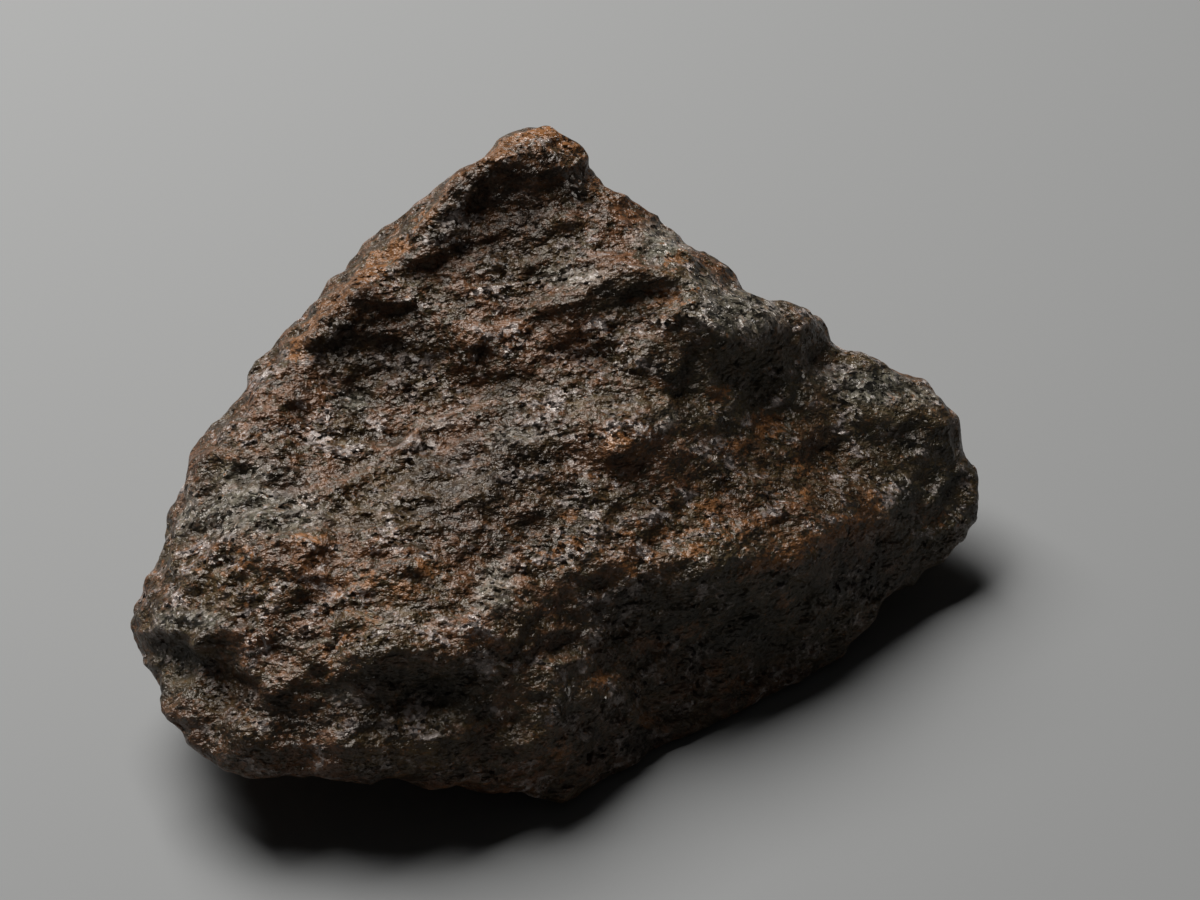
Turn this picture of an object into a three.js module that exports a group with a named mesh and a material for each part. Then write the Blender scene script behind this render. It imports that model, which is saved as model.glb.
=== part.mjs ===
// Chondrite meteorite: one weathered, wedge-shaped stone that leans back on a small flat spot.
// Units are millimetres and +Z is up. The origin is on the table, under the middle of the stone.

import * as THREE from "three";
import { ConvexHull } from "three/addons/math/ConvexHull.js";
import { ImprovedNoise } from "three/addons/math/ImprovedNoise.js";
import { mergeVertices } from "three/addons/utils/BufferGeometryUtils.js";

// ---------------------------------------------------------------- driving dimensions

const FACE_TILT_DEG = 48; // the broad face slopes this much to the table
const FACE_ORIGIN_HEIGHT = 17; // the broad face's own origin, above the table
const HEART = new THREE.Vector3(0, 6, 7.5); // every point of the skin can be seen from here
const ROUGH_SIZE = new THREE.Vector3(26, 21, 10); // half the stone, across, up and out of the face

const MESH_DETAIL = 21; // an icosahedron's faces, each split into (detail + 1)^2 triangles
const EVENING_ROUNDS = 60; // passes that even out the triangles over the facets
const WEAR_ROUNDS = 3; // passes that round off the edges between facets
const CRAG_WEAR_ROUNDS = 1; // passes that round off the crags
const WEAR_IN = 0.5; // share by which such a pass draws the points in
const WEAR_OUT = -0.52; // share by which it then lets them out again, so that the size stays
const CALM_ROUNDS = 8; // passes that calm the skin, to find which way is outward

const CRAGS = [
  { size: 4, height: 0.3, shift: 3.7 },
  { size: 2, height: 0.5, shift: 9.1 },
];
const CRAG_STRETCH = 1.8; // crags are this much longer along their run than across it
const CRAG_SLANT_DEG = 20; // they run across the face, rising this much to the right
const SEAT_CLEARANCE = 1; // the relief is at its full height from here up

// Corners of the broad face and its rims, as [across, up, out] from the face's own origin.
const FACE_CORNERS = [
  // top knob
  [-1.2, 21.8, -9.5], [-3.4, 20.8, -9.5], [0.4, 21.2, -9], [2.1, 17.8, -9], [-0.8, 19.3, -7.3],
  // left outline, from the knob down to the lower left corner
  [-5.4, 18.9, -9.5], [-8.4, 17, -9.5], [-12.1, 14.1, -10], [-15.2, 10.6, -9.5], [-18.8, 6.4, -8.5],
  [-19.8, 4, -7.5], [-22.4, 1, -6.5], [-24, -3.6, -5.5], [-25.4, -7.1, -4.5],
  [-26.4, -9.8, -3], [-25.6, -12.6, -1], [-24.5, -15, 1], [-22, -18, 2.5],
  // left crest, where the narrow left side turns into the broad face
  [-3.4, 18.7, -6.8], [-5.7, 17.1, -6.3], [-8.9, 14, -5.7], [-12, 10.9, -5.1],
  [-14.8, 7.9, -4.8], [-17, 5.2, -4.2], [-20.3, 1.6, -3], [-22, -1.4, -2.4], [-23, -5.2, -1.5],
  [-23.9, -8.6, -0.3],
  // lower lip
  [-19.2, -19.2, 3.4], [-14.9, -19.2, 3], [-8.6, -19.4, 2.2], [-3.9, -20.1, 1.2], [0.5, -21.2, -1],
  // lower right edge, close to the table
  [5.1, -18.9, -4.5], [10.4, -16.7, -7], [14.8, -14.5, -9], [18.6, -12.6, -10.8],
  [21.3, -9.1, -12], [24.2, -6.6, -13.4],
  // right tip and the notched upper right edge
  [27.6, -5.3, -14.2], [28.5, -3.6, -14.7], [27.7, -1, -15.2], [26.2, 2, -15.6], [25.7, 4.2, -16],
  [23.6, 5.2, -15.3], [20.6, 6.9, -14], [18.4, 7.1, -13.3], [16.4, 9.8, -12.8], [14.2, 9.4, -12.4],
  [11.7, 11.3, -11.3], [8.8, 13.7, -10.8], [5.7, 16, -10.4], [3.3, 16.8, -10],
  // hollow under the knob and the bright slope beside it
  [-4.4, 14, -6.4], [-6, 11.2, -5.8], [-0.8, 15.2, -7.2], [-2.4, 11.4, -6.6], [1.6, 13.4, -6.9],
  [5.2, 14, -7.8], [0.4, 9.6, -5.2], [3.2, 10.8, -5.1], [6.4, 11.8, -5.8], [9.4, 11, -7.6],
  // hollow behind the left crest
  [-8.6, 9.8, -5.6], [-10.6, 5.6, -5.6], [-8.4, 7.4, -5.2],
  // terrace above the middle
  [-17.4, 2.8, -3.2], [-12.4, 2.6, -4.6], [-8.6, 3.7, -4.8], [-4.4, 4.3, -5], [-4.6, 7.6, -4.8],
  [0.2, 5, -4.6], [0.8, 7.4, -5.2], [4, 7.6, -5.4], [8.6, 7.6, -5.6], [11.4, 8.3, -7.6], [13.6, 7.5, -9],
  // below the step, on the right half
  [8.4, 3.6, -6], [12, 4.6, -8.8], [15.6, 5, -11], [4.2, 2.4, -3.4], [12.4, 0.2, -7.8],
  [16, 1, -9.9], [20.6, 2.6, -12.5], [3.4, -1.8, -2.3], [8.6, -2.6, -5.1],
  [15, -1.4, -8.8], [20, 0.4, -11.8],
  // lower ridge, above the under-face
  [24.2, 2.4, -13.6], [22.6, 0.3, -12.4], [20.8, -2.2, -10.6], [17.6, -3.5, -8.2], [14.8, -4.9, -6.3],
  [11.6, -6.1, -4.4], [8.6, -6.8, -3], [5.4, -7.4, -1.4], [2.4, -6.2, -0.6],
  // under-face
  [4.8, -11, -2.6], [10, -11, -5.2], [15.4, -9.6, -7.8], [20, -7.6, -11], [24.6, -4.6, -13.2],
  [25.2, -1.6, -14.2], [3.2, -14.6, -0.9], [0.6, -17.6, -0.6],
  // middle, down to the hump and the valley beside it
  [-18.6, -5.4, 1.6], [-12.8, -5.8, 2.2], [-8.2, -5.8, 2.2], [-4.4, -2.4, -0.4], [-4.2, -5.8, 0.6],
  [-4.4, -8.5, 3.1], [-0.8, -3.2, -1.2], [-0.5, -7.1, 1], [0.8, -10.8, 0.2], [0.6, -14.2, 1.8],
  [-8, -1, -1.6], [-13, -1.2, -1.6], [-18.4, -1.6, -0.8],
  // lower part of the face: brow, pocket and lip
  [-21, -10.4, 2.2], [-16.8, -10.8, 3.8], [-12.4, -11, 4.3], [-8, -11, 4.3], [-4.2, -11.8, 3.2],
  [-22.6, -12.8, 1.2], [-18.8, -14.2, 2.8], [-13, -14.2, 2.9], [-8, -14.4, 2.5], [-3.4, -15.4, 2.2],
  [-23.6, -14.8, 2.4], [-19.6, -16.6, 4.9], [-13.6, -17, 5.1], [-7.6, -17.2, 4.8], [-3, -17.7, 3.2],
];

// Corners of the back and the underside, as [x, y, z] on the table.
const BACK_CORNERS = [
  // back, below the knob and the upper right edge
  [1, 23, 17], [0, 21, 8], [1, 16, 1], [9, 20, 11], [17, 19, 9], [12, 17, 3], [23, 14, 4],
  // left side
  [-14, 15, 10], [-12, 12, 2], [-21, 6, 7], [-17, 4, 1.5], [-24, -3, 4], [-7, 19, 15],
  // underside of the overhanging lower left
  [-14, -8, 3], [-19, -4, 3], [-19, -11, 5], [-7, -12, 2.5],
  // flat spot
  [2, -9, -0.5], [12, -2.5, -0.5], [9, 4, -0.5], [-2, 7.5, -0.5], [-6, 3, -0.5], [-4.5, -4, -0.5],
  // underside beyond the flat spot, low over the table
  [16.5, 2, 0.6], [13.5, 9.5, 1.3], [4, 12.5, 1.2], [-8, 8.5, 1.2], [-13, 1, 1.2], [-8.5, -5, 0.9],
  [22, 4, 1.5], [25, 8, 2.5],
];

// Ridges of the broad face and its hollows, each a line of [across, up] points.
// A height below zero makes a hollow.
const FOLDS = [
  // hollows behind the left crest
  { line: [[-3.6, 16.2], [-5.4, 14.2], [-7.8, 11.8]], width: 1.6, height: -0.7 },
  { line: [[-12.6, 5.2], [-11.2, 6.8], [-9.8, 8.8]], width: 1.6, height: -0.7 },
  // left crest
  { line: [[-9.4, 12.9], [-11.3, 10.8], [-13.1, 9.2], [-15.2, 7.1]], width: 1.4, height: 0.3 },
  // brows of the upper slope
  { line: [[0, 9.9], [2.6, 10.9], [5.1, 11.7], [7.1, 12]], width: 1, height: 0.6 },
  { line: [[-6.5, 7.6], [-3.2, 7], [-0.6, 4.7]], width: 1, height: 0.5 },
  { line: [[8.6, 8.9], [10.5, 8.1], [12.7, 8.5], [15.2, 8.9]], width: 1.1, height: 0.7 },
  { line: [[4.4, 6.6], [7, 7.2]], width: 0.9, height: 0.5 },
  { line: [[3.5, 8.2], [1.1, 4.6]], width: 0.9, height: -0.3 },
  { line: [[5, 4.2], [7.5, 4.4]], width: 1.1, height: -0.4 },
  // right half
  { line: [[12.6, 2.2], [12.9, -1.3]], width: 1, height: -0.3 },
  { line: [[16.5, 0.9], [18.4, -0.7]], width: 1, height: -0.4 },
  { line: [[19.7, 3.4], [22.2, 2.9], [24.6, 2.6]], width: 1, height: 0.4 },
  { line: [[2, 2.4], [4.4, 1.2], [6.7, -0.6]], width: 1, height: 0.5 },
  { line: [[2.1, -0.1], [3.8, -3.3]], width: 0.9, height: -0.5 },
  // long ridge from the middle to the right tip
  { line: [[-4.6, 0.6], [-2.2, -1.2], [-0.7, -3], [2, -4.2]], width: 1, height: 0.5 },
  { line: [[3.2, -5.4], [5.3, -7.2], [8.1, -7], [10.8, -6.1], [14.2, -6]], width: 1, height: 0.5 },
  { line: [[14.2, -6], [17, -4.8], [19.9, -2.8]], width: 1, height: 0.5 },
  // left half
  { line: [[-19.1, -4.8], [-17, -5.5], [-15.3, -4.8]], width: 1, height: 0.5 },
  { line: [[-17.6, 4], [-15.2, 4.3]], width: 0.9, height: 0.4 },
  { line: [[-24, -10.2], [-22, -10.6], [-19.7, -10.5]], width: 1, height: 0.6 },
  { line: [[-23.6, -12.2], [-21.2, -13.6], [-19.2, -14.7]], width: 1.3, height: -1 },
  { line: [[-18.3, -13.4], [-15, -13.5]], width: 0.9, height: 0.5 },
  { line: [[-14.9, -8], [-14.6, -9.2]], width: 1, height: -0.5 },
  { line: [[-17.1, -11.3], [-16.6, -11.9]], width: 0.9, height: -0.4 },
  // brow, pocket and lip along the bottom
  { line: [[-12.7, -10.4], [-10.1, -11.5], [-7.2, -10.8], [-3, -9.1]], width: 1, height: 0.6 },
  { line: [[-3.7, -15.5], [-3.2, -17.3]], width: 1, height: -0.6 },
  { line: [[-16.4, -16.9], [-10.8, -16.6], [-5.7, -16.7]], width: 0.9, height: 0.5 },
  { line: [[-1.5, -13.5], [0.8, -17.6]], width: 1, height: 0.5 },
];

// ---------------------------------------------------------------- facets between the corners

const faceFrame = new THREE.Matrix4()
  .makeTranslation(0, 0, FACE_ORIGIN_HEIGHT)
  .multiply(new THREE.Matrix4().makeRotationX(THREE.MathUtils.degToRad(FACE_TILT_DEG)));
const tableToFace = faceFrame.clone().invert();
const OUT = new THREE.Vector3(0, 0, 1); // out of the broad face, in its own frame
const faceOut = OUT.clone().transformDirection(faceFrame);

function allCorners() {
  const onFace = FACE_CORNERS.map((corner) => new THREE.Vector3(...corner).applyMatrix4(faceFrame));
  const onBack = BACK_CORNERS.map((corner) => new THREE.Vector3(...corner));
  return [...onFace, ...onBack];
}

// Corners that are neighbours as seen from the heart share a facet.
function facetsBetween(corners) {
  const cornerSeenAlong = new Map(
    corners.map((corner) => [corner.clone().sub(HEART).normalize(), corner]),
  );
  const hull = new ConvexHull().setFromPoints([...cornerSeenAlong.keys()]);
  return hull.faces.map(({ edge }) => {
    const ends = [edge.tail(), edge.head(), edge.next.head()];
    return new THREE.Triangle(...ends.map((end) => cornerSeenAlong.get(end.point)));
  });
}

function pointOnFacets(towards, facets) {
  const ray = new THREE.Ray(HEART, towards.clone().sub(HEART).normalize());
  const hit = new THREE.Vector3();
  for (const { a, b, c } of facets) {
    if (ray.intersectTriangle(a, b, c, false, hit)) {
      return hit;
    }
  }
  throw new Error("the facets leave a gap");
}

// ---------------------------------------------------------------- the skin

// An even net of triangles around the heart, of about the stone's length, width and thickness.
function roughMesh() {
  const sphere = new THREE.IcosahedronGeometry(1, MESH_DETAIL);
  sphere.deleteAttribute("normal");
  sphere.deleteAttribute("uv");
  sphere.scale(...ROUGH_SIZE);
  sphere.rotateX(THREE.MathUtils.degToRad(FACE_TILT_DEG));
  sphere.translate(...HEART);
  return mergeVertices(sphere, 1e-3);
}

function pointsOf(attribute) {
  return Array.from({ length: attribute.count }, (_, i) =>
    new THREE.Vector3().fromBufferAttribute(attribute, i),
  );
}

function trianglesOf(geometry) {
  const index = geometry.getIndex();
  return Array.from({ length: index.count / 3 }, (_, i) =>
    [0, 1, 2].map((k) => index.getX(3 * i + k)),
  );
}

function neighboursOf(triangles) {
  const neighbours = [];
  triangles.forEach((corners) =>
    corners.forEach((corner, k) => (neighbours[corner] ??= []).push(corners[(k + 1) % 3])),
  );
  return neighbours;
}

// Moves every point to the middle of the triangles around it, large ones counting for more.
function evened(points, triangles) {
  const sums = points.map(() => new THREE.Vector3());
  const weights = points.map(() => 0);
  const triangle = new THREE.Triangle();
  const middle = new THREE.Vector3();
  for (const corners of triangles) {
    triangle.setFromPointsAndIndices(points, ...corners);
    triangle.getMidpoint(middle);
    const weight = triangle.getArea();
    corners.forEach((corner) => {
      sums[corner].addScaledVector(middle, weight);
      weights[corner] += weight;
    });
  }
  return sums.map((sum, i) => sum.divideScalar(weights[i]));
}

// Moves every point a share of the way to the middle of its neighbours.
function relaxed(points, neighbours, share) {
  return points.map((point, i) => {
    const middle = new THREE.Vector3();
    neighbours[i].forEach((j) => middle.add(points[j]));
    middle.divideScalar(neighbours[i].length);
    return point.clone().lerp(middle, share);
  });
}

// Rounds off what is sharp, and keeps the size.
function worn(points, neighbours, rounds) {
  let result = points;
  for (let round = 0; round < rounds; round += 1) {
    result = relaxed(relaxed(result, neighbours, WEAR_IN), neighbours, WEAR_OUT);
  }
  return result;
}

// ---------------------------------------------------------------- relief

const perlin = new ImprovedNoise();

function distanceToLine(point, line) {
  const nearest = new THREE.Vector2();
  const distances = line.slice(1).map((end, i) => {
    nearest.subVectors(point, line[i]);
    const stretch = end.clone().sub(line[i]);
    const along = THREE.MathUtils.clamp(nearest.dot(stretch) / stretch.lengthSq(), 0, 1);
    return nearest.addScaledVector(stretch, -along).length();
  });
  return Math.min(...distances);
}

const folds = FOLDS.map(({ line, width, height }) => ({
  line: line.map((point) => new THREE.Vector2(...point)),
  width,
  height,
}));

// Height of the ridges and hollows, none of which run on over the rim of the broad face.
function foldHeight(onFace, outward) {
  const facing = THREE.MathUtils.smoothstep(outward.dot(faceOut), 0, 0.4);
  const point = new THREE.Vector2(onFace.x, onFace.y);
  return folds.reduce((sum, { line, width, height }) => {
    const away = distanceToLine(point, line) / width;
    return sum + facing * height * Math.exp(-(away ** 2));
  }, 0);
}

// Height of the crags: sharp crests around shallow dents, of two sizes.
function cragHeight(onFace) {
  const { x, y, z } = onFace.clone().applyAxisAngle(OUT, -THREE.MathUtils.degToRad(CRAG_SLANT_DEG));
  return CRAGS.reduce((sum, { size, height, shift }) => {
    const noise = perlin.noise(x / (size * CRAG_STRETCH) + shift, y / size, z / size);
    return sum + height * (0.5 - 2 * Math.abs(noise));
  }, 0);
}

// Height of all the relief, which fades out at the flat spot.
function reliefHeight(point, outward) {
  const onFace = point.clone().applyMatrix4(tableToFace);
  const clear = THREE.MathUtils.smoothstep(point.z, 0, SEAT_CLEARANCE);
  return clear * (foldHeight(onFace, outward) + cragHeight(onFace));
}

// A point below the table is drawn straight back towards the heart until it lies on the table.
function seated(point) {
  if (point.z >= 0) {
    return point;
  }
  const onTable = HEART.clone().lerp(point, HEART.z / (HEART.z - point.z));
  return onTable.setZ(0);
}

// The skin without its relief: the facets, with their edges worn round.
function smoothSkin(geometry, triangles, neighbours) {
  const facets = facetsBetween(allCorners());
  const onFacets = (points) => points.map((point) => pointOnFacets(point, facets));
  let points = onFacets(pointsOf(geometry.getAttribute("position")));
  for (let round = 0; round < EVENING_ROUNDS; round += 1) {
    points = onFacets(evened(points, triangles));
  }
  return worn(points, neighbours, WEAR_ROUNDS);
}

// Which way is outward at every point, from a skin so calm that the relief never crosses itself.
function outwardFrom(points, neighbours, geometry) {
  let calm = points;
  for (let round = 0; round < CALM_ROUNDS; round += 1) {
    calm = relaxed(calm, neighbours, 1);
  }
  geometry.setFromPoints(calm);
  geometry.computeVertexNormals();
  return pointsOf(geometry.getAttribute("normal"));
}

function stoneGeometry() {
  const geometry = roughMesh();
  const triangles = trianglesOf(geometry);
  const neighbours = neighboursOf(triangles);
  const smooth = smoothSkin(geometry, triangles, neighbours);
  const outward = outwardFrom(smooth, neighbours, geometry);
  const craggy = smooth.map((point, i) =>
    point.clone().addScaledVector(outward[i], reliefHeight(point, outward[i])),
  );
  geometry.setFromPoints(worn(craggy, neighbours, CRAG_WEAR_ROUNDS).map(seated));
  return geometry;
}

// ---------------------------------------------------------------- the stone

const rustyBrown = new THREE.MeshStandardMaterial({ color: 0x4a382c, roughness: 0.5, metalness: 0 });

const stone = new THREE.Mesh(stoneGeometry(), rustyBrown);
const middle = new THREE.Box3().setFromObject(stone).getCenter(new THREE.Vector3());
stone.position.set(-middle.x, -middle.y, 0);
stone.name = "stone";

const meteorite = new THREE.Group();
meteorite.add(stone);

export default meteorite;
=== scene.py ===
"""Looks of the chondrite meteorite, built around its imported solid."""

import math
from types import SimpleNamespace

import bpy
import numpy as np
from mathutils import Matrix, Vector, noise


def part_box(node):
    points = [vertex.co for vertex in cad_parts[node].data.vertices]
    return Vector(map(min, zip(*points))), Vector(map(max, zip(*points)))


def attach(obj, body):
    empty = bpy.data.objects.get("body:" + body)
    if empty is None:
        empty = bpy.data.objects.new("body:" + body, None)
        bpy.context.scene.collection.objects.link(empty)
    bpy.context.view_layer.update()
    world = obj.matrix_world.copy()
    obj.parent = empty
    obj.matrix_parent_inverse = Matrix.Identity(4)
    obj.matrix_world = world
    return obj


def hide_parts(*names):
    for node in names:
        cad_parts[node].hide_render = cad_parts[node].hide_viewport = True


MM = 0.001

# The broad face has its own frame, in which the stone's markings and the camera are placed:
# [across, up, out], in millimetres, from an origin above the table.
FACE_TILT = math.radians(48)
FACE_ORIGIN = Vector((-0.780, -3.906, 17)) * MM
FACE_FRAME = Matrix.Translation(FACE_ORIGIN) @ Matrix.Rotation(FACE_TILT, 4, "X")

CAMERA_PLACE = Vector((2.58, 0.6, 180)) * MM  # in the face's frame, looking straight at the face
LENS_MM = 90
SENSOR_MM = 36
NEAREST_SEEN = 10 * MM

TO_LIGHT = Vector((-0.33, 0.47, 0.82)).normalized()
LIGHT_DISTANCE = 400 * MM
LIGHT_SIZE = 250 * MM
LIGHT_WATTS = 2.7
WORLD_COLOUR = (1, 1, 1)
WORLD_STRENGTH = 0.016

FLOOR_SIZE = 4000 * MM
FLOOR_COLOUR = (0.24, 0.24, 0.236)
FLOOR_ROUGHNESS = 0.8

# The fine skin.
WELD_GAP = 0.001 * MM  # points this near to each other become one
SUBDIVISIONS = 2
VOXEL = 0.17 * MM  # cell size
SMOOTH_SHARE = 0.5  # how far one pass moves a value towards those around it
CALM_ROUNDS = 90  # passes that smooth the facets of the CAD solid away
HOLLOW_ROUNDS = (12, 80)  # passes that smooth the skin, to find how deep its hollows are
SEAT_CLEARANCE = 0.6 * MM  # the relief has its full height from here up
MOST_TRIANGLES = 190_000  # once the skin is thinned out

GRAIN_STRETCH = 1.5  # the grain is this much longer along its run than across it
CRINKLE_STRETCH = 1.2  # and its finest part only this much
GRAIN_SLANT = math.radians(15)  # it runs across the face, rising this much to the right

# Relief of the grain: its height and size, in mm, and its shift to another part of the noise.
RIDGES = (0.13, 2.6, 5.1)
WAVES = (0.28, 1.4, 2.3)
RIPPLES = (0.15, 0.7, 7.3)
CHIPS = (0.06, 1.3, 8.2)
RIDGE_FALL = 4  # how steeply the ridges fall away from their crests
CHIP_WEAR_ROUNDS = 2  # passes that wear the edges of the chips
CHIP_TILT = 2.0  # how steep the chips are
CHIP_TILT_SEED = 31.7
CHIP_LEVEL_SEED = 17.3
HALF = Vector((0.5, 0.5, 0.5))

PATCH_FADE = 0.7  # how fast a patch or a line fades, at its half width
FACING = 0.4  # a point that faces the way of the broad face this much has its full markings

# Sizes of the crust's patches and grains, in mm.
BROAD_SIZE = 4
PATCH_SIZE = 2
MIDDLING_SIZE = 1.5
LUMP_SIZE = 1
FINE_SIZE = 0.45
GRAIN_SIZE = 0.3
SPECKLE_SIZE = 0.26
FACET_SIZE = 0.25

LUMP_HEIGHT = 0.6  # mm
GRAIN_HEIGHT = 0.26
CRINKLE_SHIFT = 40  # to another part of the noise, for the finest grain
PATCH_SHIFT = 80  # and for the patches

# Roughness of the crust.
POLISHED = 0.2
SATIN = 0.4
LEAST_DULL = 0.22
DULLEST = 0.42

# Colours of the crust, linear. WARM_BLACK and GREEN_BLACK also serve as painted shade, and the greys
# and silver as painted sheen and glints.
WARM_BLACK = (0.017, 0.009, 0.004)
GREEN_BLACK = (0.010, 0.010, 0.006)
OLIVE_BLACK = (0.030, 0.019, 0.007)
DARK_BROWN = (0.068, 0.035, 0.012)
OLIVE_BROWN = (0.060, 0.049, 0.025)
RED_BROWN = (0.130, 0.052, 0.019)
YELLOW_BROWN = (0.110, 0.063, 0.019)
WEAR_AND_SHEEN_GREY = (0.300, 0.250, 0.225)
PAINTED_GLINT_SILVER = (0.500, 0.450, 0.430)
SHEEN_GREY_GREEN = (0.200, 0.192, 0.150)
RUST = (0.225, 0.095, 0.032)
SHEEN = (1.0, 0.92, 0.84)  # of the light that the crust mirrors

# Blender's Mix node has several sockets of the same name, so its colours go by number.
MIX_COLOURS = (6, 7)
MIX_RESULT = 2

# Markings and low relief of the broad face, in its own frame, in mm.
# A patch is (across, up, half width, half height, strength), or height for relief.
# A line is (half width, strength, [(across, up), ...]), or height for relief.
RUST_PATCHES = [
    # upper half
    (-1.5, 18.8, 4.0, 1.8, 0.5), (-3.3, 19.3, 1.6, 0.8, 0.8), (5.1, 9.6, 0.5, 0.4, 1),
    (6.7, 10.0, 1.3, 0.8, 0.7), (6.1, 4.9, 0.5, 0.4, 1), (9.5, 4.1, 0.7, 0.5, 1),
    (12.8, 1.9, 1.2, 0.9, 1), (10.5, 0.7, 0.7, 0.5, 1), (3.5, 1.2, 0.8, 0.5, 1),
    (4.6, 0.4, 0.8, 0.4, 1), (7.4, 12.7, 0.7, 0.5, 0.7), (14.5, -0.6, 1.2, 0.6, 0.6),
    (-2.5, 14.8, 2.0, 0.8, 0.4),
    # along the lower ridge
    (8.7, -3.1, 0.8, 0.5, 1), (0.8, -3.3, 0.5, 0.4, 1), (1.2, -5.2, 0.8, 0.5, 0.8),
    (8.1, -5.8, 0.7, 0.4, 1), (15.2, -2.8, 0.7, 0.4, 0.8), (4.5, -6.6, 0.6, 0.5, 0.8),
    (12.0, -4.6, 2.0, 0.6, 0.5), (10.0, -4.8, 6.0, 1.4, 0.4),
    # left half
    (-7.8, -6.4, 0.9, 0.5, 1), (-8.9, -7.7, 0.8, 0.5, 1), (-14.6, -4.8, 1.2, 0.5, 0.7),
    (-19.4, -6.8, 1.0, 0.5, 0.6), (-12.4, 9.0, 1.0, 0.9, 0.5), (-15.9, -14.7, 2.2, 0.7, 0.5),
    (-20.6, -13.0, 1.2, 0.5, 0.5), (-17.5, -6.6, 4.5, 1.6, 0.4), (-10.5, -7.6, 3.5, 1.8, 0.4),
    (-1.0, -5.2, 2.5, 1.6, 0.4),
    # under-face
    (5.6, -11.3, 1.0, 0.5, 1), (5.3, -15.9, 0.8, 0.6, 0.8), (8.1, -10.4, 0.7, 0.5, 1),
    (9.7, -12.7, 0.7, 0.7, 1), (11.0, -14.0, 0.6, 0.5, 1), (2.6, -13.3, 0.7, 0.5, 1),
    (13.8, -8.7, 0.6, 0.5, 0.8), (0.2, -17.3, 1.0, 0.5, 0.7), (24.3, -3.6, 0.9, 0.7, 0.5),
]
LEFT_CREST = [(-9.9, 13.3), (-11.1, 12.3), (-12.6, 10.8), (-14.0, 9.5), (-15.2, 8.0), (-16.1, 6.7)]
RUST_LINES = [
    # rims of the knob, and the crest that runs down to the left of it
    (0.55, 1, [(1.0, 19.6), (0.1, 20.4), (-0.9, 20.6), (-2.5, 19.9), (-4.0, 18.7), (-5.3, 18.0)]),
    (0.5, 0.8, [(-5.3, 18.0), (-6.5, 17.0), (-7.5, 15.7), (-8.6, 14.4)]),
    (0.6, 1, LEFT_CREST),
    (0.4, 0.8, [(1.0, 19.6), (1.7, 18.6), (2.3, 17.2), (3.2, 16.4)]),
    # lower ridge, and a seam in the left half
    (0.45, 0.8, [(11.0, -6.6), (13.7, -6.1), (15.8, -5.2), (18.2, -4.0), (19.9, -2.6)]),
    (0.4, 0.7, [(-13.5, -12.2), (-13.3, -11.0), (-12.0, -10.2), (-10.6, -9.4)]),
]
# Darker crust, and painted shade where the face turns from the light or lies under a ridge.
DARK_AND_PAINTED_SHADE_PATCHES = [
    # darker crust and painted shade on and under the knob, behind the left crest and in the furrow
    # between them
    (-1.2, 18.4, 3.2, 1.2, 0.6), (-5.5, 13.2, 3.4, 1.8, 0.8), (-12.0, 5.6, 2.8, 1.6, 0.8),
    (-4.0, 15.4, 3.6, 2.8, 1.2), (-1.2, 17.9, 2.8, 1.6, 1.2), (1.6, 16.9, 1.2, 1.4, 0.9),
    (-12.9, 7.8, 2.6, 2.8, 1.2), (-12.2, 5.3, 2.2, 1.1, 0.9), (-9.5, 7.2, 2.0, 2.0, 0.9),
    (-1.8, 11.8, 2.4, 1.2, 0.5), (1.0, 9.6, 3.0, 0.8, 0.7), (4.4, 10.3, 2.6, 1.0, 1),
    (-5.4, 5.6, 3.0, 0.7, 0.5),
    # right half: darker crust, and painted shade under the brow
    (7.0, 5.6, 2.2, 1.2, 0.9), (12.5, 5.3, 3.2, 1.6, 0.4), (6.4, -0.4, 1.4, 1.3, 0.35),
    (16.6, 6.4, 2.4, 1.0, 0.5), (22.4, 1.2, 2.4, 1.2, 0.9), (25.0, -0.6, 1.8, 2.4, 1),
    (22.8, -2.4, 2.2, 1.6, 0.9),
    # under-face: painted shade, where it faces away from the light
    (3.6, -8.9, 2.8, 1.8, 0.8), (10.0, -10.6, 7.5, 3.4, 0.9), (19.7, -7.2, 5.5, 2.2, 1),
    (4.0, -16.8, 4.0, 2.0, 0.9), (14.5, -6.9, 2.6, 0.5, 0.6),
    # painted shade in the pocket over the lip, and at the left end
    (-8.6, -13.4, 4.0, 1.5, 1), (-4.4, -14.6, 1.6, 1.0, 0.8), (-21.4, -14.2, 2.4, 1.0, 0.5),
    (-20.4, -15.8, 4.4, 1.7, 0.65), (-23.6, -11.3, 1.5, 0.9, 1), (-13.0, -18.9, 6.0, 0.8, 1),
    (-9.5, -16.3, 5.0, 1.0, 0.6),
    # faint, over the middle and the left half, and painted shade inside the left crest
    (-4.0, -1.5, 5.6, 4.2, 1), (-16.1, -2.4, 0.8, 0.6, 0.7), (-16.9, -6.6, 1.6, 0.9, 0.4),
    (-15.0, -8.0, 1.2, 1.6, 0.3), (-3.0, 1.5, 3.5, 1.2, 0.25), (-10.5, 6.0, 2.4, 2.2, 0.9),
]
DARK_AND_PAINTED_SHADE_LINES = [
    # painted shade in the groove over the lip, and down the left end, turned from the light
    (0.8, 1, [(-23.6, -11.4), (-21.1, -12.4), (-18.2, -13.9), (-15.0, -15.1), (-11.0, -15.0)]),
    (0.7, 0.9, [(-24.2, -13.0), (-23.4, -15.0), (-22.0, -16.6), (-20.8, -17.6)]),
]
OLIVE_PATCHES = [
    (12.0, 5.0, 5.5, 3.6, 1), (20.0, 3.0, 4.0, 4.0, 1), (24.0, -3.0, 4.0, 5.0, 1),
    (12.0, -9.5, 9.0, 3.5, 1), (2.0, -14.0, 5.0, 3.5, 0.6), (-7.0, -13.6, 4.5, 2.0, 0.8),
    (-23.0, -12.0, 2.0, 2.0, 0.8), (1.0, -4.5, 2.5, 2.5, 0.6), (5.0, 10.4, 3.5, 1.2, 0.7),
]
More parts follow.
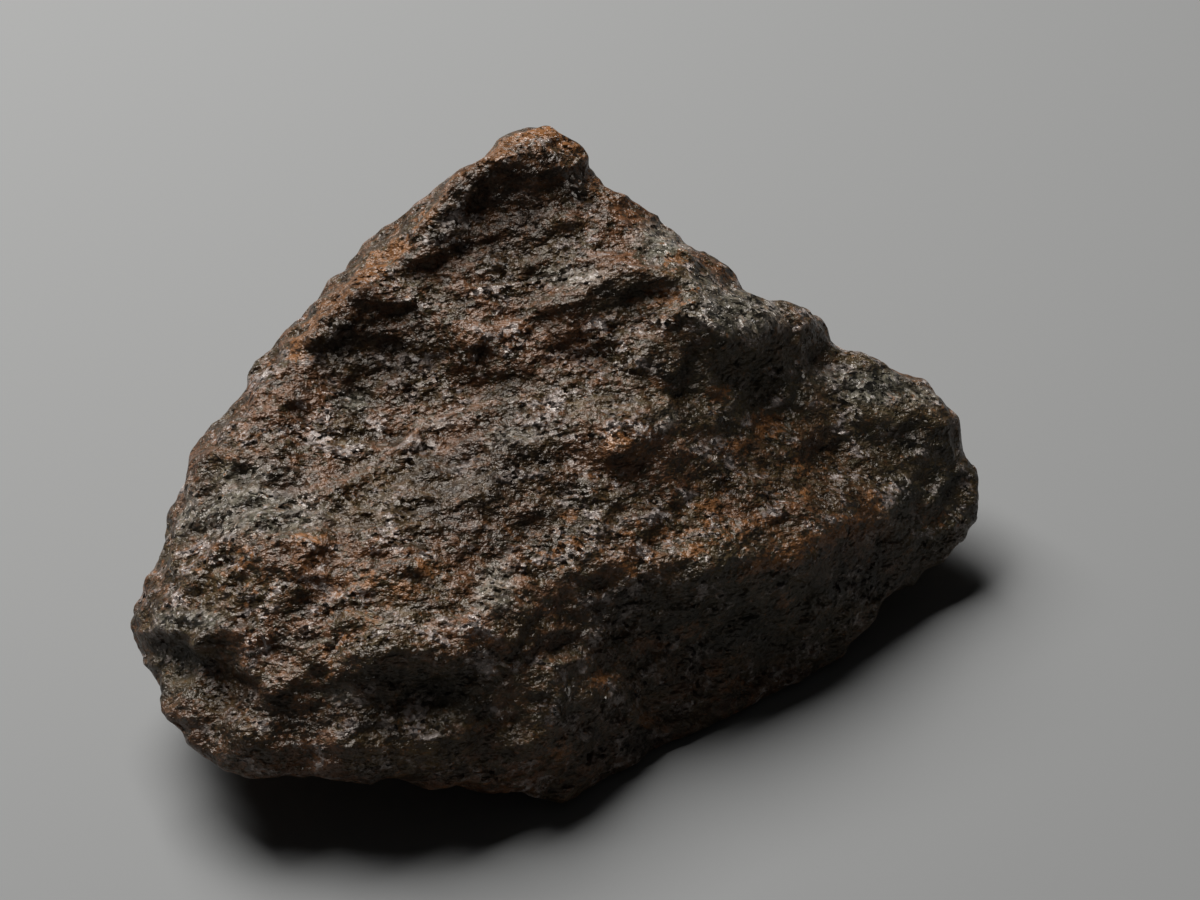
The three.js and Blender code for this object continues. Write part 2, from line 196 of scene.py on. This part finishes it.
# Painted sheen: grey-green and pearly where the crust shines in the light.
PAINTED_SHEEN_PATCHES = [
    (20.2, 4.6, 2.6, 1.1, 1), (23.4, 3.9, 1.6, 0.8, 0.7), (-22.6, -3.0, 0.9, 2.0, 0.8),
    (-3.7, -7.5, 1.1, 1.5, 1), (-12.6, -13.7, 0.9, 0.7, 0.8), (6.7, 13.8, 1.8, 1.4, 1),
    (8.8, 10.8, 1.8, 1.0, 0.7), (0.8, 11.4, 2.4, 0.6, 0.8), (-2.6, 1.5, 1.8, 0.6, 0.9),
    (6.2, 2.4, 1.2, 0.8, 0.6), (-23.2, -9.6, 1.2, 0.7, 0.8), (-21.0, -9.5, 1.2, 0.6, 1),
    (-18.4, -0.9, 2.6, 0.7, 0.9), (-18.2, -3.2, 4.0, 1.6, 1), (-12.6, 3.6, 1.2, 0.8, 0.9),
    (-7.6, 2.2, 1.6, 0.8, 0.5), (-10.6, -9.5, 1.2, 0.5, 0.6), (-15.4, -10.6, 1.8, 0.8, 0.5),
    (11.2, 9.2, 3.0, 1.4, 1), (17.5, 5.2, 2.0, 1.0, 0.7),
]
ROUGHER_PATCHES = [(-14.0, -4.0, 9.0, 7.0, 0.4), (12.0, 0.0, 8.0, 7.0, -0.35)]  # below 0: calmer
HUMPS = [
    (-17.0, -4.8, 5.5, 3.2, 0.4), (9.5, 9.4, 3.0, 1.4, 0.35), (11.6, 7.6, 3.0, 1.6, 0.6),
    (11.6, 4.4, 3.6, 2.2, 0.5), (12.0, -3.0, 6.5, 5.0, 1.1), (6.0, 1.4, 2.4, 1.3, 0.5),
    (-9.4, -11.2, 3.6, 1.2, 0.4), (16.3, -3.6, 2.4, 0.9, 0.3), (-4.0, 13.8, 3.2, 2.2, -0.4),
    (-1.4, 16.4, 2.0, 1.4, -0.4), (6.4, 3.2, 1.6, 1.0, 0.35), (15.4, 1.0, 1.6, 0.9, 0.25),
    (-1.6, 19.0, 2.2, 0.8, 0.3), (20.6, 2.8, 3.4, 1.3, 0.4), (-0.6, -12.8, 1.8, 1.2, 0.5),
    (-2.6, -10.6, 1.6, 1.0, 0.4),
]
LIP = [(-21.4, -15.0), (-20.2, -15.5), (-17.4, -16.4), (-14.4, -16.9), (-10.9, -17.1), (-7.4, -17.1)]
CREASES = [
    # the groove over the lip, the lip itself and the rim of the knob
    (0.8, -0.6, [(-23.8, -11.3), (-21.1, -12.3), (-18.0, -13.8)]),
    (0.8, 0.3, LIP),
    (0.5, 0.35, [(-0.9, 20.4), (-2.5, 19.7), (-4.0, 18.6), (-5.3, 17.9), (-6.5, 16.8)]),
]


# ---------------------------------------------------------------- meshes as arrays


def points_of(mesh):
    points = np.empty(len(mesh.vertices) * 3)
    mesh.vertices.foreach_get("co", points)
    return points.reshape(-1, 3)


def normals_of(mesh):
    normals = np.empty(len(mesh.vertices) * 3)
    mesh.vertices.foreach_get("normal", normals)
    return normals.reshape(-1, 3)


def set_points(mesh, points):
    mesh.vertices.foreach_set("co", points.ravel())
    mesh.update()


def mark(mesh, name, values):
    """Keeps a number for every point of a mesh, for its material."""
    layer = mesh.attributes.new(name, "FLOAT", "POINT")
    layer.data.foreach_set("value", values)


class Smoother:
    """Averages values over a mesh's neighbouring points."""

    def __init__(self, mesh):
        edges = np.empty(len(mesh.edges) * 2, dtype=np.int64)
        mesh.edges.foreach_get("vertices", edges)
        one, other = edges.reshape(-1, 2).T
        self.at = np.concatenate([one, other])
        self.near = np.concatenate([other, one])
        self.count = len(mesh.vertices)
        self.neighbours = np.bincount(self.at, minlength=self.count)

    def __call__(self, values, rounds):
        columns = values.reshape(self.count, -1).astype(float)
        for _ in range(rounds):
            sums = np.stack(
                [
                    np.bincount(self.at, weights=column[self.near], minlength=self.count)
                    for column in columns.T
                ],
                axis=1,
            )
            columns += SMOOTH_SHARE * (sums / self.neighbours[:, None] - columns)
        return columns.reshape(values.shape)


# ---------------------------------------------------------------- places on the broad face


def in_face_frame(points):
    """Points in metres in the row frame, as [across, up, out] in millimetres."""
    to_face = np.array(FACE_FRAME.inverted())
    return (points @ to_face[:3, :3].T + to_face[:3, 3]) / MM


def grain_space(on_face, size):
    """Places in a space where a grain of this size is 1 across, and which its slant straightens."""
    slant = np.array(Matrix.Rotation(-GRAIN_SLANT, 3, "Z"))
    return (on_face @ slant.T) / (np.array([GRAIN_STRETCH, 1, 1]) * size)


def facing(outward):
    """1 on the broad face and 0 on the faces behind it, with a soft change between them."""
    return np.clip(outward @ np.array(FACE_FRAME.col[2].xyz) / FACING, 0, 1)


def patch_cover(on_face, patches):
    """The strengths of patches of the broad face, fading out from their middles."""
    for across, up, half_width, half_height, strength in patches:
        away = (on_face[:, :2] - (across, up)) / (half_width, half_height)
        yield strength * np.exp(-PATCH_FADE * (away**2).sum(axis=1))


def line_cover(on_face, lines):
    """The strengths of lines on the broad face, fading out from their middles."""
    for half_width, strength, places in lines:
        nearest = np.full(len(on_face), np.inf)
        for start, end in zip(places, places[1:]):
            run = np.subtract(end, start)
            along = np.clip((on_face[:, :2] - start) @ run / (run @ run), 0, 1)
            away = on_face[:, :2] - start - along[:, None] * run
            nearest = np.minimum(nearest, (away**2).sum(axis=1))
        yield strength * np.exp(-PATCH_FADE * nearest / half_width**2)


# ---------------------------------------------------------------- fine relief


def waves(places, shift):
    """Rounded humps and dents, from about -1 to 1."""
    return np.array([noise.noise(Vector(place)) for place in places + shift])


def ridged(places, shift):
    """Sharp crests around rounded dents."""
    return 1 - RIDGE_FALL * np.abs(waves(places, shift))


def chips(places, shift):
    """Small flat chips, each at its own height and tilt."""
    heights = np.empty(len(places))
    for i, place in enumerate(places + shift):
        position = Vector(place)
        centre = noise.voronoi(position)[1][0]
        tilt = noise.cell_vector(centre * CHIP_TILT_SEED) - HALF
        level = noise.cell(centre * CHIP_LEVEL_SEED) - 0.5
        heights[i] = level + CHIP_TILT * tilt.dot(position - centre)
    return heights


def grained(on_face, relief, shape):
    """One kind of the grain's relief, in mm."""
    height, size, shift = relief
    return height * shape(grain_space(on_face, size), shift)


def fine_relief(on_face, front, smoother):
    """The height of all the fine relief, in mm."""

    def worn_chips(places, shift):
        return smoother(chips(places, shift), CHIP_WEAR_ROUNDS)

    relief = (
        grained(on_face, RIDGES, ridged)
        + grained(on_face, WAVES, waves)
        + grained(on_face, RIPPLES, waves)
        + grained(on_face, CHIPS, worn_chips)
    )
    relief *= 1 + front * sum(patch_cover(on_face, ROUGHER_PATCHES))
    relief += front * sum(patch_cover(on_face, HUMPS))
    relief += front * sum(line_cover(on_face, CREASES))
    return relief


# ---------------------------------------------------------------- the fine skin


def apply_modifiers(thing):
    """Gives an object the mesh that its modifiers make, and takes them off."""
    evaluated = thing.evaluated_get(bpy.context.evaluated_depsgraph_get())
    mesh = bpy.data.meshes.new_from_object(evaluated)
    thing.modifiers.clear()
    thing.data = mesh


def fine_skin(solid):
    """A finely and evenly meshed copy of the CAD solid, rounded a little."""
    skin = bpy.data.objects.new("stone_skin", solid.data.copy())
    bpy.context.scene.collection.objects.link(skin)
    weld = skin.modifiers.new("weld", "WELD")
    weld.merge_threshold = WELD_GAP
    smooth = skin.modifiers.new("smooth", "SUBSURF")
    smooth.levels = smooth.render_levels = SUBDIVISIONS
    remesh = skin.modifiers.new("remesh", "REMESH")
    remesh.mode = "VOXEL"
    remesh.voxel_size = VOXEL
    apply_modifiers(skin)
    skin.data.materials.clear()
    return skin


def calmed(points, smoother):
    """The skin without its facets, swollen back to the size that smoothing takes off its ridges."""
    smooth = smoother(points, CALM_ROUNDS)
    return 2 * smooth - smoother(smooth, CALM_ROUNDS)


def hollowness(points, outward, smoother):
    """How deep each point lies under the skin around it, in mm, over two widths."""
    sunk = (smoother(points, rounds) - points for rounds in HOLLOW_ROUNDS)
    return sum((step * outward).sum(axis=1) for step in sunk) / MM


def in_cad_box(points):
    lowest, highest = (np.array(corner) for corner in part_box("stone"))
    return np.clip(points, lowest, highest)


def mark_face(mesh, on_face, front):
    """Keeps the strengths of the broad face's markings: rust, olive tone, painted sheen, and darker
    crust with painted shade.
    """
    markings = {
        "rust": (*patch_cover(on_face, RUST_PATCHES), *line_cover(on_face, RUST_LINES)),
        "dark": (*patch_cover(on_face, DARK_AND_PAINTED_SHADE_PATCHES), *line_cover(on_face, DARK_AND_PAINTED_SHADE_LINES)),
        "olive": tuple(patch_cover(on_face, OLIVE_PATCHES)),
        "pale": tuple(patch_cover(on_face, PAINTED_SHEEN_PATCHES)),
    }
    for name, covers in markings.items():
        mark(mesh, name, front * np.max(covers, axis=0))


def carve(skin):
    """Gives the skin its fine relief and its markings."""
    mesh = skin.data
    smoother = Smoother(mesh)
    points = points_of(mesh)
    calm = calmed(points, smoother)
    set_points(mesh, calm)
    outward = normals_of(mesh)
    on_face = in_face_frame(calm)
    front = facing(outward)
    clear = np.clip(points[:, 2] / SEAT_CLEARANCE, 0, 1)
    relief = fine_relief(on_face, front, smoother) * clear * MM
    points = calm + outward * relief[:, None]
    set_points(mesh, in_cad_box(points))
    mark(mesh, "hollow", hollowness(points, outward, smoother))
    mark_face(mesh, on_face, front)


def thin_out(skin):
    """Takes triangles out of the skin, most of them where it is flat."""
    thin = skin.modifiers.new("thin", "DECIMATE")
    thin.ratio = min(1, MOST_TRIANGLES / (2 * len(skin.data.polygons)))
    apply_modifiers(skin)
    set_points(skin.data, in_cad_box(points_of(skin.data)))
    skin.data.shade_smooth()
    skin.data.name = "stone_skin"


# ---------------------------------------------------------------- material nodes


class Nodes:
    """Builds the nodes of a new material; they take sockets to link or plain values to set."""

    def __init__(self, name):
        self.material = bpy.data.materials.new(name)
        self.material.use_nodes = True
        self.tree = self.material.node_tree
        self.shader = self.tree.nodes["Principled BSDF"]

    def give(self, socket, value):
        if isinstance(value, bpy.types.NodeSocket):
            self.tree.links.new(value, socket)
        else:
            socket.default_value = value

    def add(self, kind, inputs, **settings):
        made = self.tree.nodes.new("ShaderNode" + kind)
        for name, value in settings.items():
            setattr(made, name, value)
        for name, value in inputs.items():
            self.give(made.inputs[name], value)
        return made

    def mixed(self, share, low, high):
        """A colour between two: low where share is 0, high where it is 1."""
        mix = self.add("Mix", {"Factor": share}, data_type="RGBA", clamp_factor=True)
        for number, colour in zip(MIX_COLOURS, (low, high)):
            value = (*colour, 1) if isinstance(colour, tuple) else colour
            self.give(mix.inputs[number], value)
        return mix.outputs[MIX_RESULT]

    def ramp(self, value, start, end, low=0.0, high=1.0):
        """Goes from low to high, smoothly, as value goes from start to end."""
        inputs = {
            "Value": value,
            "From Min": start,
            "From Max": end,
            "To Min": low,
            "To Max": high,
        }
        return self.add("MapRange", inputs, interpolation_type="SMOOTHSTEP").outputs[0]

    def maths(self, operation, one, other):
        return self.add("Math", {0: one, 1: other}, operation=operation).outputs[0]

    def plus(self, one, other):
        return self.maths("ADD", one, other)

    def times(self, one, other):
        return self.maths("MULTIPLY", one, other)

    def most(self, one, other):
        return self.maths("MAXIMUM", one, other)

    def vector_maths(self, operation, inputs):
        return self.add("VectorMath", inputs, operation=operation).outputs[0]

    def cloud(self, places, size, detail, roughness, distortion=0.0):
        """Soft noise, mostly between 0.3 and 0.7, with patches of this size, in millimetres."""
        inputs = {
            "Vector": places,
            "Scale": 1 / size,
            "Detail": detail,
            "Roughness": roughness,
            "Distortion": distortion,
        }
        return self.add("TexNoise", inputs).outputs[0]

    def attribute(self, name):
        return self.add("Attribute", {}, attribute_name=name).outputs["Fac"]

    def mapped(self, places, vector_type, **change):
        inputs = {"Vector": places, **change}
        return self.add("Mapping", inputs, vector_type=vector_type).outputs[0]

    def grain_places(self, stretch, shift=0.0):
        """The object's own space, turned to the face and its grain, in millimetres."""
        place = self.add("TexCoord", {}).outputs["Object"]
        turned = self.mapped(place, "TEXTURE", Rotation=(FACE_TILT, 0, 0))
        return self.mapped(
            turned,
            "POINT",
            Location=(shift, shift, shift),
            Rotation=(0, 0, -GRAIN_SLANT),
            Scale=(1 / (stretch * MM), 1 / MM, 1 / MM),
        )

    def faceted(self, normal, places, size, amount):
        """The normal tilted at random, cell by cell, as over a crust of small crystals."""
        cells = self.add("TexVoronoi", {"Vector": places, "Scale": 1 / size}).outputs["Color"]
        tilt = self.vector_maths("SUBTRACT", {0: cells, 1: HALF})
        tilt = self.vector_maths("SCALE", {0: tilt, "Scale": amount})
        return self.vector_maths("NORMALIZE", {0: self.vector_maths("ADD", {0: normal, 1: tilt})})


# ---------------------------------------------------------------- the weathered crust


def crust_fields(nodes):
    """What the crust's relief, colour and gloss depend on, from place to place."""
    marks = {name: nodes.attribute(name) for name in ("hollow", "rust", "dark", "olive", "pale")}
    grain = nodes.grain_places(GRAIN_STRETCH)
    crinkled = nodes.grain_places(CRINKLE_STRETCH, CRINKLE_SHIFT)
    shifted = nodes.grain_places(GRAIN_STRETCH, PATCH_SHIFT)
    patchy = nodes.cloud(shifted, PATCH_SIZE, detail=4, roughness=0.6, distortion=0.5)
    lumps = nodes.cloud(grain, LUMP_SIZE, detail=2, roughness=0.55)
    grains = nodes.cloud(crinkled, GRAIN_SIZE, detail=2, roughness=0.6)
    height = nodes.plus(nodes.times(lumps, LUMP_HEIGHT), nodes.times(grains, GRAIN_HEIGHT))
    return SimpleNamespace(
        **marks,
        crinkled=crinkled,
        patchy=patchy,
        broad=nodes.cloud(grain, BROAD_SIZE, detail=4, roughness=0.65),
        middling=nodes.cloud(crinkled, MIDDLING_SIZE, detail=5, roughness=0.8, distortion=0.3),
        fine=nodes.cloud(crinkled, FINE_SIZE, detail=4, roughness=0.7),
        speckle=nodes.cloud(crinkled, SPECKLE_SIZE, detail=1, roughness=0.5),
        height=height,
        crest=nodes.ramp(height, 0.40, 0.48),
        # Pearly patches: polished, and painted with sheen.
        polish_and_painted_sheen=nodes.most(nodes.ramp(patchy, 0.49, 0.58), nodes.ramp(marks["pale"], 0.2, 0.8)),
    )


def crust_normal(nodes, crust):
    """Relief too small for the mesh, of lumps, grains and the facets of small crystals."""
    bump = nodes.add("Bump", {"Strength": 1.0, "Distance": MM, "Height": crust.height})
    pearly = nodes.times(crust.middling, crust.polish_and_painted_sheen)
    uneven = nodes.ramp(pearly, 0, 0.55, low=0.5, high=1.45)
    return nodes.faceted(bump.outputs[0], crust.crinkled, FACET_SIZE, uneven)


def ground_colour(nodes, crust):
    """Olive and browns, in patches."""
    mingled = nodes.plus(nodes.times(crust.broad, 0.5), nodes.times(crust.fine, 0.5))
    red = nodes.ramp(mingled, 0.47, 0.56, high=0.9)
    red = nodes.times(red, nodes.ramp(crust.olive, 0, 1, low=1, high=0.2))
    yellow = nodes.ramp(mingled, 0.47, 0.40, high=0.6)
    olive = nodes.ramp(crust.fine, 0.45, 0.37, high=0.5)
    colour = nodes.mixed(nodes.ramp(crust.middling, 0.42, 0.56), OLIVE_BLACK, DARK_BROWN)
    colour = nodes.mixed(red, colour, RED_BROWN)
    colour = nodes.mixed(yellow, colour, YELLOW_BROWN)
    colour = nodes.mixed(olive, colour, OLIVE_BROWN)
    return nodes.mixed(nodes.ramp(crust.olive, 0, 1, high=0.6), colour, OLIVE_BROWN)


def with_wear_and_painted_sheen(nodes, crust, colour):
    """Crests worn grey and painted with sheen, most of all in pearly patches, and a grey-green
    painted sheen where the face is marked for it.
    """
    wear_and_sheen = nodes.times(crust.crest, nodes.ramp(crust.middling, 0.45, 0.54, low=0.05))
    wear_and_sheen = nodes.times(wear_and_sheen, nodes.ramp(crust.polish_and_painted_sheen, 0, 1, low=0.08))
    colour = nodes.mixed(wear_and_sheen, colour, WEAR_AND_SHEEN_GREY)
    return nodes.mixed(nodes.ramp(crust.pale, 0.2, 0.9, high=0.5), colour, SHEEN_GREY_GREEN)


def with_rust(nodes, crust, colour):
    """Freckles all over, and larger stains where the face is marked as rusty."""
    freckles = nodes.ramp(crust.speckle, 0.56, 0.66)
    freckles = nodes.times(freckles, nodes.ramp(crust.middling, 0.5, 0.62, high=0.5))
    stains = nodes.plus(crust.fine, nodes.times(crust.rust, 0.3))
    stains = nodes.ramp(stains, 0.60, 0.72, high=0.95)
    return nodes.mixed(nodes.most(freckles, stains), colour, RUST)


def with_painted_glints(nodes, crust, colour):
    """Painted glints: tiny silver spots in the pearly patches."""
    glints = nodes.ramp(crust.speckle, 0.42, 0.34)
    glints = nodes.times(glints, nodes.ramp(crust.fine, 0.46, 0.62, high=0.8))
    return nodes.mixed(nodes.times(glints, crust.polish_and_painted_sheen), colour, PAINTED_GLINT_SILVER)


def with_dark_patches_and_painted_shade(nodes, crust, colour):
    """Darker hollows, partly dirt and partly painted shade; painted shade in the pits between
    grains; darker random patches; and the marked darker crust and painted shade.
    """
    # Hollows: dirt, and painted shade.
    hollows = nodes.ramp(crust.hollow, 0.04, 0.4, high=0.6)
    shade = nodes.most(hollows, nodes.ramp(crust.dark, 0.1, 0.9, high=0.9))
    shade = nodes.times(shade, nodes.ramp(crust.middling, 0.42, 0.58, low=1, high=0.4))
    # Painted shade in the pits between the grains.
    shade = nodes.most(shade, nodes.ramp(crust.height, 0.41, 0.34, high=0.7))
    shade = nodes.most(shade, nodes.ramp(crust.patchy, 0.46, 0.36, high=0.55))
    return nodes.mixed(shade, colour, nodes.mixed(crust.olive, WARM_BLACK, GREEN_BLACK))


def crust_roughness(nodes, crust):
    """Pearly crests are polished and the rest is satin, but dullest in hollows and marked darker
    patches.
    """
    polish = nodes.ramp(nodes.times(crust.crest, crust.polish_and_painted_sheen), 0, 1, low=SATIN, high=POLISHED)
    dull = nodes.most(nodes.ramp(crust.hollow, 0, 0.3), nodes.ramp(crust.dark, 0.1, 0.8))
    return nodes.most(polish, nodes.ramp(dull, 0, 1, low=LEAST_DULL, high=DULLEST))


def weathered_crust():
    nodes = Nodes("weathered_crust")
    crust = crust_fields(nodes)
    colour = ground_colour(nodes, crust)
    for layer in (with_wear_and_painted_sheen, with_rust, with_painted_glints, with_dark_patches_and_painted_shade):
        colour = layer(nodes, crust, colour)
    looks = {
        "Base Color": colour,
        "Roughness": crust_roughness(nodes, crust),
        "Specular Tint": (*SHEEN, 1),
        "Normal": crust_normal(nodes, crust),
    }
    for name, value in looks.items():
        nodes.give(nodes.shader.inputs[name], value)
    return nodes.material


# ---------------------------------------------------------------- floor, light and camera


def floor_material():
    nodes = Nodes("floor")
    nodes.shader.inputs["Base Color"].default_value = (*FLOOR_COLOUR, 1)
    nodes.shader.inputs["Roughness"].default_value = FLOOR_ROUGHNESS
    return nodes.material


def make_floor():
    bpy.ops.mesh.primitive_plane_add(size=FLOOR_SIZE)
    floor = bpy.context.object
    floor.name = "floor"
    floor.data.materials.append(floor_material())


def make_light():
    light = bpy.data.lights.new("key", "AREA")
    light.size = LIGHT_SIZE
    light.energy = LIGHT_WATTS
    holder = bpy.data.objects.new("key", light)
    bpy.context.scene.collection.objects.link(holder)
    holder.location = TO_LIGHT * LIGHT_DISTANCE
    holder.rotation_mode = "QUATERNION"
    holder.rotation_quaternion = (-TO_LIGHT).to_track_quat("-Z", "Y")


def make_world():
    world = bpy.data.worlds.new("studio")
    world.use_nodes = True
    background = world.node_tree.nodes["Background"]
    background.inputs["Color"].default_value = (*WORLD_COLOUR, 1)
    background.inputs["Strength"].default_value = WORLD_STRENGTH
    bpy.context.scene.world = world


def make_camera():
    camera = bpy.data.cameras.new("camera")
    camera.lens = LENS_MM
    camera.sensor_width = SENSOR_MM
    camera.clip_start = NEAREST_SEEN
    holder = bpy.data.objects.new("camera", camera)
    bpy.context.scene.collection.objects.link(holder)
    holder.matrix_world = (
        Matrix.Translation(FACE_FRAME @ CAMERA_PLACE) @ Matrix.Rotation(FACE_TILT, 4, "X")
    )
    bpy.context.scene.camera = holder


# ---------------------------------------------------------------- the scene

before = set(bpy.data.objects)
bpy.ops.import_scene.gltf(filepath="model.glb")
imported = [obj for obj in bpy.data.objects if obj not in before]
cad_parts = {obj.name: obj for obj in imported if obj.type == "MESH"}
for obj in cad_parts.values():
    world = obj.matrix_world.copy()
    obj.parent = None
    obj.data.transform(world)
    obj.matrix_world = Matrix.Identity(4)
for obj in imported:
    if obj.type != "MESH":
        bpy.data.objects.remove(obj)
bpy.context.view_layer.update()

make_camera()
make_floor()
make_light()
make_world()
bpy.context.scene.view_settings.view_transform = "Standard"

skin = fine_skin(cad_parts["stone"])
carve(skin)
thin_out(skin)
skin.data.materials.append(weathered_crust())
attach(skin, "root")
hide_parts("stone")
